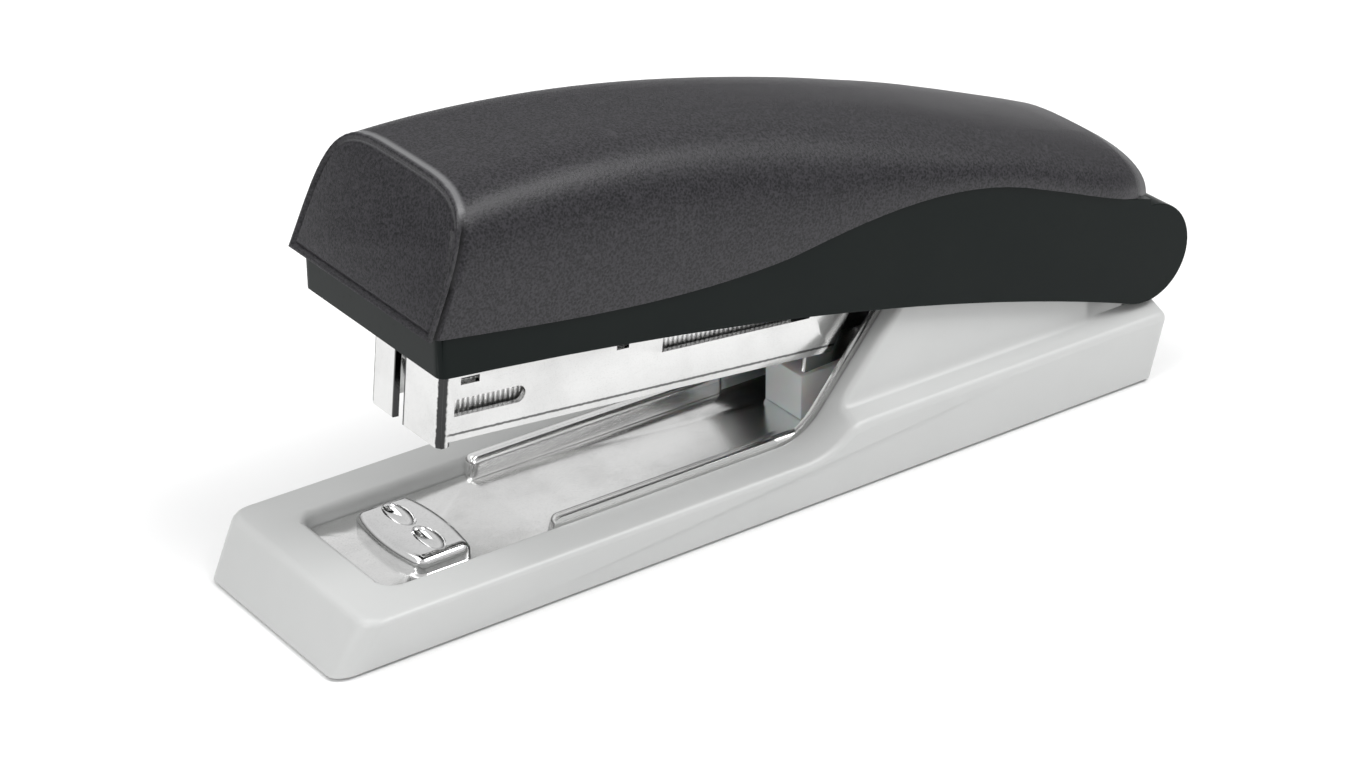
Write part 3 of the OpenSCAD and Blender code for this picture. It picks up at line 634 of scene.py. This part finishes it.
base_shell = make_base_shell()
weigh_edges(base_shell, 24, lambda x, y, z: z > 1 and (x < 118 or abs(y) > CHEEK_OUT + 0.2))
round_edges(base_shell, 0.95, 4, smooth=40, clamp=False)
weigh_edges(base_shell, 50, lambda x, y, z: z < 0.6)
round_edges(base_shell, 0.3, 2, smooth=40)
settle(base_shell)
finish_piece(base_shell, "base_shell")

# ---------------------------------------------------------------- cover

FACE_NORMAL = Vector((-math.cos(FACE_LEAN), 0, math.sin(FACE_LEAN)))
RIM_TOP = 53.2              # height at which the raised rim has run out
GROOVE = 0.42               # depth of the groove on the front face
SIDE_GROOVE = 0.6           # depth of the groove on the sides
SIDE_GROOVE_AT = 0.8        # how far it lies behind the front face
COVER_HALF = 15.0


def behind_face(co):
    """How far a place lies behind the cover's front face, in mm."""
    return -(co - at(COVER_FOOT[0], 0, COVER_FOOT[1])).dot(FACE_NORMAL) / MM


def make_cover():
    """The CAD cover, its triangles merged into whole faces, with a raised rim and a groove round its front
    face.
    """
    piece = merged_copy("head_cover", "charcoal_cover", flat=0.4)
    bpy.ops.object.mode_set(mode="EDIT")
    # four cuts behind the face: the rim, the groove's middle, its far lip and a margin
    for depth in (0.45, 0.8, 1.35, 2.0):
        bpy.ops.mesh.select_all(action="SELECT")
        bpy.ops.mesh.bisect(plane_co=at(COVER_FOOT[0], 0, COVER_FOOT[1]) - FACE_NORMAL * depth * MM,
                            plane_no=FACE_NORMAL)
    # the front face gets an inset rim and a groove
    pick(piece, lambda x, y, z, n: n.dot(FACE_NORMAL) > 0.995 and z > 41 and x < 24, "FACE")
    bpy.ops.mesh.inset(thickness=0.42 * MM)
    bpy.ops.mesh.inset(thickness=0.3 * MM, depth=-GROOVE * MM)
    bpy.ops.mesh.inset(thickness=0.45 * MM, depth=GROOVE * MM)
    # the groove on the face has no part along the foot and runs out towards the top
    pick(piece, lambda x, y, z: abs(behind_face(at(x, y, z)) - GROOVE) < 0.03 and z < 42 and x < 24
         and abs(y) < 14.2)
    bpy.ops.transform.translate(value=FACE_NORMAL * GROOVE * MM)
    for height in (RIM_TOP - 1.5, RIM_TOP):
        pick(piece, lambda x, y, z: abs(behind_face(at(x, y, z)) - GROOVE) < 0.03 and z > height and x < 24)
        bpy.ops.transform.translate(value=FACE_NORMAL * GROOVE * 0.5 * MM)
    return piece


def shape_rim(piece):
    """Sinks the groove on the sides behind the rim, fading towards the top."""
    for top, share in ((RIM_TOP - 1.5, 0.6), (RIM_TOP, 0.4)):
        bpy.ops.mesh.select_mode(type="VERT")
        bpy.ops.mesh.select_all(action="DESELECT")
        mesh = bmesh.from_edit_mesh(piece.data)
        for v in mesh.verts:
            y, z = abs(v.co.y) / MM, v.co.z / MM
            outside = v.normal.dot(Vector((0, math.copysign(1, v.co.y), 0))) > 0.3
            v.select = abs(behind_face(v.co) - SIDE_GROOVE_AT) < 0.04 and y > 9 and outside and z < top
        mesh.select_flush_mode()
        bmesh.update_edit_mesh(piece.data)
        bpy.ops.transform.resize(value=(1, 1 - SIDE_GROOVE * share / COVER_HALF, 1),
                                 center_override=at(15, 0, 45))


cover = make_cover()
shape_rim(cover)
bpy.ops.mesh.select_all(action="SELECT")
bpy.ops.mesh.normals_make_consistent(inside=False)
bpy.ops.object.mode_set(mode="OBJECT")
weigh_edges(cover, 35, lambda x, y, z: behind_face(at(x, y, z)) < 0.1 or z < 44)
round_edges(cover, 0.3, 3, smooth=28)
settle(cover)
finish_piece(cover, "head_cover")

# ---------------------------------------------------------------- skirt

skirt = merged_copy("head_trim", "black_skirt_frame")
weigh_edges(skirt, 60, lambda x, y, z: x < 16 and abs(y) > 14 and 35.5 < z < 39.5)
round_edges(skirt, 1.0, 5, smooth=30)
weigh_edges(skirt, 60, lambda x, y, z: abs(y) > 14.5 and (x > 16.5 or z < 36))
round_edges(skirt, 0.25, 3, smooth=30)
finish_piece(skirt, "head_trim")

# ---------------------------------------------------------------- anvil and the ridges of the plate

ANVIL_X, ANVIL_L, ANVIL_W = 15.4, 9.4, 15.0
ANVIL_BOW = 29.0      # radius of its bowed front and rear
ANVIL_STEPS = 12
FLOOR_Z, ANVIL_H = 5.3, 2.0


def cutter(name, middle, size):
    """A lens-shaped tool that is taken out of a piece and then deleted."""
    bpy.ops.object.select_all(action="DESELECT")
    bpy.ops.mesh.primitive_uv_sphere_add(segments=24, ring_count=12, radius=1, location=at(*middle),
                                         scale=[s * MM for s in size])
    tool = bpy.context.object
    tool.name = name
    settle(tool)
    return tool


def cut_away(piece, tools):
    for tool in tools:
        cut = piece.modifiers.new("cut", "BOOLEAN")
        cut.operation = "DIFFERENCE"
        cut.solver = "EXACT"
        cut.object = tool
    apply_modifiers(piece)
    for tool in tools:
        bpy.data.objects.remove(tool, do_unlink=True)


def make_anvil():
    """A block bowed at its front and rear, rolled at its edges, with two crimping pockets in line."""
    bpy.ops.object.select_all(action="DESELECT")
    middle = ANVIL_X + ANVIL_L / 2
    bpy.ops.mesh.primitive_cube_add(size=1, location=at(middle, 0, FLOOR_Z + ANVIL_H / 2),
                                    scale=(ANVIL_L * MM, ANVIL_W * MM, ANVIL_H * MM))
    piece = bpy.context.object
    piece.name = "crimping_anvil"
    settle(piece)
    bpy.ops.object.mode_set(mode="EDIT")
    rows = [ANVIL_W * (i / ANVIL_STEPS - 0.5) for i in range(ANVIL_STEPS + 1)]
    for across in rows[1:-1]:
        bpy.ops.mesh.select_all(action="SELECT")
        bpy.ops.mesh.bisect(plane_co=at(0, across, 0), plane_no=(0, 1, 0))
    for across in rows:
        sag = ANVIL_BOW - math.sqrt(ANVIL_BOW ** 2 - across ** 2)
        for side in (-1, 1):
            pick(piece, lambda x, y, z: abs(y - across) < 0.05 and (x - middle) * side > 0)
            shift(x=-side * sag)
    close_mesh()
    weigh_edges(piece, 40, lambda x, y, z: z > FLOOR_Z + 0.1)
    round_edges(piece, 1.5, 7, smooth=50)
    cut_away(piece, [cutter("pocket", (middle + 0.2, side * 3.4, FLOOR_Z + ANVIL_H + 0.2), (1.5, 3.3, 1.25))
                     for side in (-1, 1)])
    bpy.ops.object.shade_smooth_by_angle(angle=math.radians(40))
    return piece


finish_piece(make_anvil(), "anvil")


def make_ridge(side):
    """One rolled ridge beside the floor of the plate, with a round front tip."""
    bpy.ops.object.select_all(action="DESELECT")
    bpy.ops.mesh.primitive_cube_add(size=1, location=at(52.9, side * 8.95, FLOOR_Z + 1.15),
                                    scale=(39 * MM, 2.0 * MM, 3.3 * MM))
    piece = bpy.context.object
    piece.name = "plate_ridge_" + ("near" if side < 0 else "far")
    settle(piece)
    bpy.ops.object.mode_set(mode="EDIT")
    pick(piece, lambda x, y, z: x < 35 and z > FLOOR_Z + 1)
    shift(x=0.9)
    bpy.ops.object.mode_set(mode="OBJECT")
    weigh_edges(piece, 30, lambda x, y, z: True)
    round_edges(piece, 0.95, 6, smooth=60)
    finish_piece(piece, "base_plate", replaces=False)


for side in (-1, 1):
    make_ridge(side)

# ---------------------------------------------------------------- magazine and staples

LEVEL = Matrix.Translation(at(PIN_X, 0, PIN_Z)) @ Matrix.Rotation(REST_TILT, 4, "Y")
STAPLES = 72
WIRE_T, WIRE_W = 0.55, 0.7
STAPLE_HALF, STAPLE_H = 6.4, 6.0
CROWN_TOP = -0.25      # upper face of the strip, from the pin
STRIP_FRONT = -102.3   # front of the strip, from the pin
MAG_LOW, MAG_HALF = -7.5, 7.5


def level_mm(x, y, z):
    """A place counted from the front of the base, as seen from the pin in the tilted magazine's frame."""
    co = LEVEL.inverted() @ at(x, y, z)
    return co.x / MM, co.y / MM, co.z / MM


def make_staples():
    """One wire staple with its two legs, repeated along the rail."""
    bpy.ops.object.select_all(action="DESELECT")
    middle = ((STRIP_FRONT + WIRE_W / 2) * MM, 0, (CROWN_TOP - WIRE_T / 2) * MM)
    bpy.ops.mesh.primitive_cube_add(size=1, location=middle,
                                    scale=((WIRE_W - 0.03) * MM, 2 * STAPLE_HALF * MM, WIRE_T * MM))
    piece = bpy.context.object
    piece.name = "wire_staples"
    settle(piece)
    bpy.ops.object.mode_set(mode="EDIT")
    for side in (-1, 1):
        bpy.ops.mesh.select_all(action="SELECT")
        bpy.ops.mesh.bisect(plane_co=(0, side * (STAPLE_HALF - WIRE_T) * MM, 0), plane_no=(0, 1, 0))
    mesh = bmesh.from_edit_mesh(piece.data)
    bpy.ops.mesh.select_mode(type="FACE")
    bpy.ops.mesh.select_all(action="DESELECT")
    for face in mesh.faces:
        face.select = face.normal.z < -0.9 and abs(face.calc_center_median().y) > (STAPLE_HALF - WIRE_T) * MM
    bmesh.update_edit_mesh(piece.data)
    pull(z=-(STAPLE_H - WIRE_T))
    bpy.ops.object.mode_set(mode="OBJECT")
    bevel = piece.modifiers.new("wire", "BEVEL")
    bevel.width = 0.13 * MM
    bevel.segments = 1
    rows = piece.modifiers.new("strip", "ARRAY")
    rows.use_relative_offset = False
    rows.use_constant_offset = True
    rows.constant_offset_displace = (WIRE_W * MM, 0, 0)
    rows.count = STAPLES
    apply_modifiers(piece)
    bpy.ops.object.shade_smooth_by_angle(angle=math.radians(50))
    piece.matrix_world = LEVEL
    settle(piece)
    return piece


finish_piece(make_staples(), "staple_strip")

magazine = merged_copy("magazine", "magazine_channel")
weigh_edges(magazine, 60, lambda x, y, z: abs(level_mm(x, y, z)[2] - MAG_LOW) < 0.1
            and abs(abs(y) - MAG_HALF) < 0.1 and level_mm(x, y, z)[0] > -103)
round_edges(magazine, 0.75, 5)
weigh_edges(magazine, 50, lambda x, y, z: True)
round_edges(magazine, 0.12, 2, smooth=32)
finish_piece(magazine, "magazine")
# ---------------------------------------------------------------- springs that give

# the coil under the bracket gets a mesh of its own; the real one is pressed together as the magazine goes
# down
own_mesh(bpy.data.objects["lifting_spring"])

# the lower leg of the spring on the pin stays on the magazine, the upper one goes with the head
LOWER_LEG, UPPER_LEG = at(101, 0, 20.95), at(101.35, 0, 24.45)
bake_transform(bpy.data.objects["head_return_spring"], "magazine", "spring_carrier", LOWER_LEG, UPPER_LEG)

# the pusher's spring is hooked at the front of the magazine and draws out as the pusher goes back
HOOKED_END, PUSHER_END = at(26.2, 0, 25.8), at(72.06, 0, 21.3)
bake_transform(bpy.data.objects["feed_spring"], "magazine", "pusher", HOOKED_END, PUSHER_END)

# ---------------------------------------------------------------- studio

look_from((-0.2339, -0.3157, 0.2216), azimuth=-35.83, elevation=27.99, roll=-0.27, lens=94.04)

bpy.ops.object.select_all(action="DESELECT")
bpy.ops.mesh.primitive_plane_add(size=8, location=(0, 0, 0))
floor = bpy.context.object
floor.name = "studio_floor"
paper = Finish("studio_paper", (0.93, 0.93, 0.93), roughness=0.95, Specular_IOR_Level=0.05)
paper.set("Base Color", paper.mix(paper.noise(60, 2), (0.92, 0.92, 0.92), (0.94, 0.94, 0.94)))
floor.data.materials.append(paper.material)


def studio_walls():
    """A pale studio that is bright above and darker round the horizon."""
    world = bpy.data.worlds.new("studio")
    bpy.context.scene.world = world
    world.use_nodes = True
    tree = world.node_tree
    background = tree.nodes["Background"]
    place = tree.nodes.new("ShaderNodeTexCoord")
    split = tree.nodes.new("ShaderNodeSeparateXYZ")
    ramp = tree.nodes.new("ShaderNodeValToRGB")
    tree.links.new(place.outputs["Generated"], split.inputs[0])
    tree.links.new(split.outputs["Z"], ramp.inputs[0])
    tree.links.new(ramp.outputs[0], background.inputs["Color"])
    stops = ((0.0, 0.06), (0.14, 0.12), (0.42, 1.0), (1.0, 0.8))  # (height, brightness)
    while len(ramp.color_ramp.elements) < len(stops):
        ramp.color_ramp.elements.new(0.5)
    for element, (position, shade) in zip(ramp.color_ramp.elements, stops):
        element.position = position
        element.color = (shade, shade, shade, 1)
    background.inputs["Strength"].default_value = 0.8


studio_walls()
bpy.context.scene.view_settings.view_transform = "Standard"
soft_box("key", (0.45, -0.55, 0.95), aim=(0, 0, 0.02), size=(0.7, 0.35), watts=7.5)
soft_box("top", (-0.35, 0.25, 1.1), aim=(-0.02, 0, 0.02), size=(0.8, 0.8), watts=4.5)
soft_box("front", (-0.9, -0.25, 0.55), aim=(-0.05, 0, 0.03), size=(0.35, 0.45), watts=2.2)
